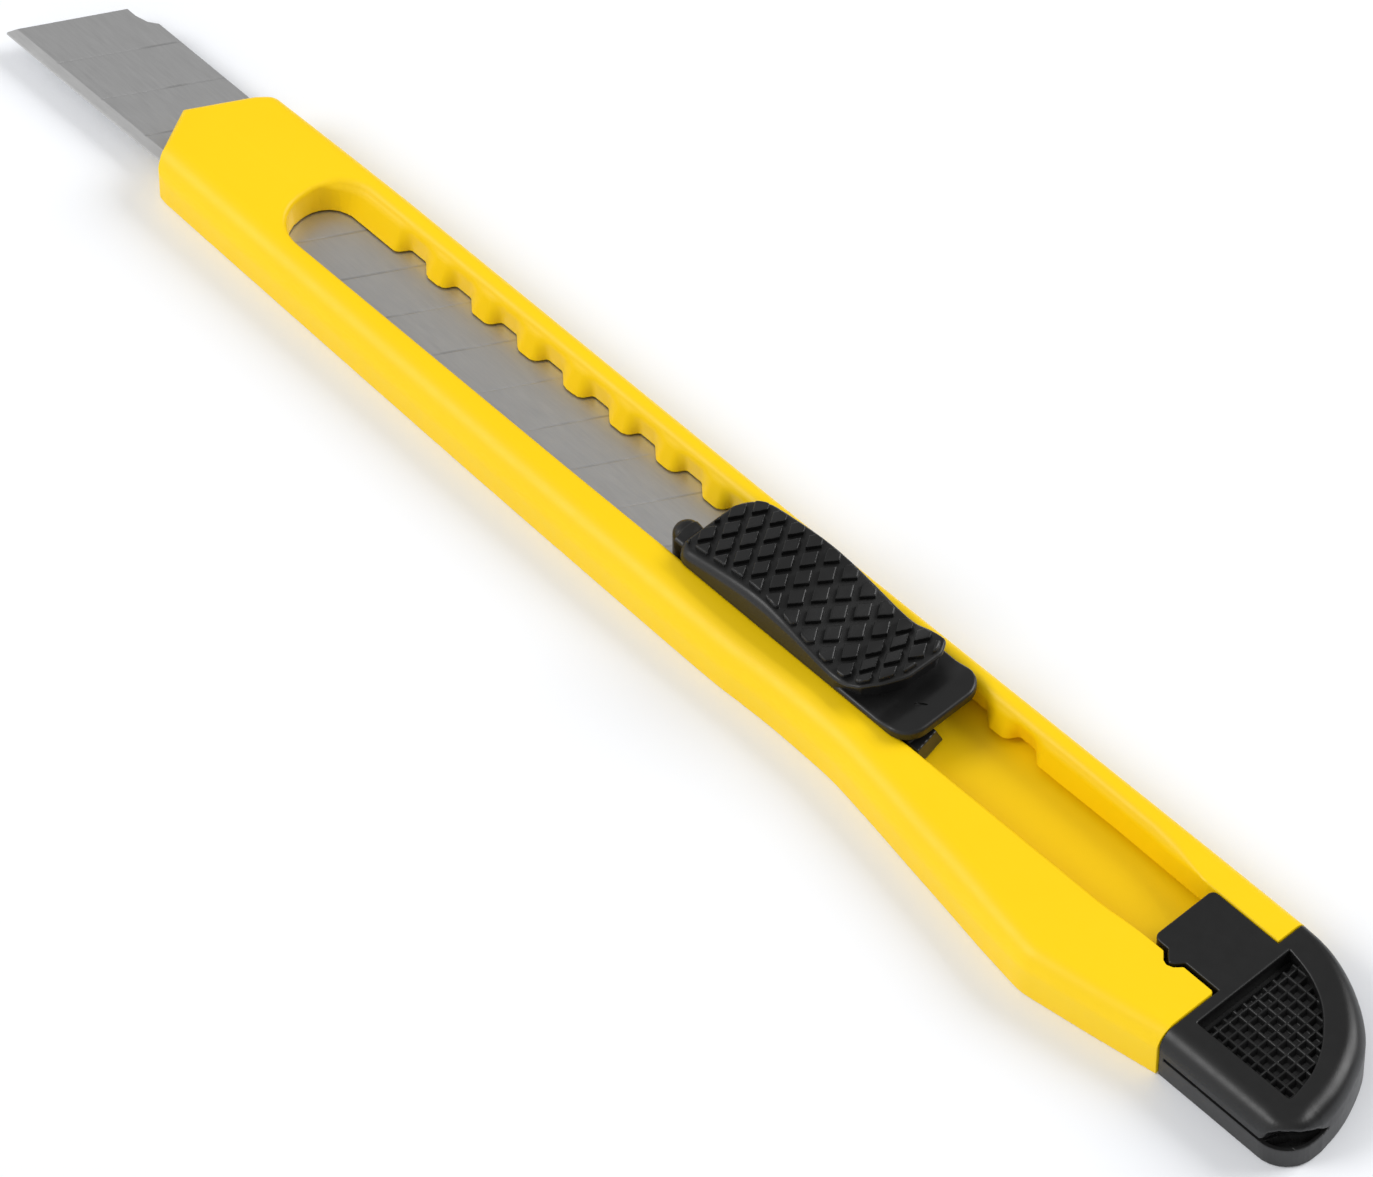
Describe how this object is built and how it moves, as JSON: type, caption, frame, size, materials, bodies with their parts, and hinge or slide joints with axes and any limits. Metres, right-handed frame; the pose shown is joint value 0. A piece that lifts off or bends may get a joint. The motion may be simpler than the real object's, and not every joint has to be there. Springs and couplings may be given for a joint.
{
  "type": "utility knife",
  "caption": "Slim snap-off utility knife: moulded handle with a toothed slot, thumb slider, ratchet spring, steel blade and a push-in end cap with a snapping slit.",
  "frame": {"origin": "middle of the underside of the whole knife with the blade put out by three segments, on the surface it lies on", "axes": "+X from the blade's tip to the end cap, -Y towards the cutting edge, +Z out of the face with the thumb slider"},
  "size_m": [0.1408, 0.0166, 0.0076],
  "materials": {
    "yellow_plastic": "satin moulded plastic",
    "black_plastic": "satin moulded plastic",
    "blade_steel": "finely ground steel",
    "spring_steel": "rolled spring steel"
  },
  "bodies": {
    "handle": {"body_shell": "yellow_plastic"},
    "slider": {"slider_button": "black_plastic", "blade_carrier": "black_plastic", "blade": "blade_steel"},
    "ratchet": {"ratchet_spring": "spring_steel"},
    "cap": {"end_cap": "black_plastic"}
  },
  "joints": [
    {"name": "slider_slide", "type": "slide", "parent": "handle", "child": "slider", "axis": [1, 0, 0], "range_m": [-0.03928, 0.01964]},
    {"name": "ratchet_flex", "type": "hinge", "parent": "slider", "child": "ratchet", "pos_m": [0.01647, 0.00347, 0.0027], "axis": [0, 0, 1], "range_deg": [0, 6.5], "stiffness_Nm_per_rad": 0.02, "springref_deg": -1.15},
    {"name": "cap_pull", "type": "slide", "parent": "handle", "child": "cap", "axis": [1, 0, 0], "range_m": [0, 0.012]}
  ]
}
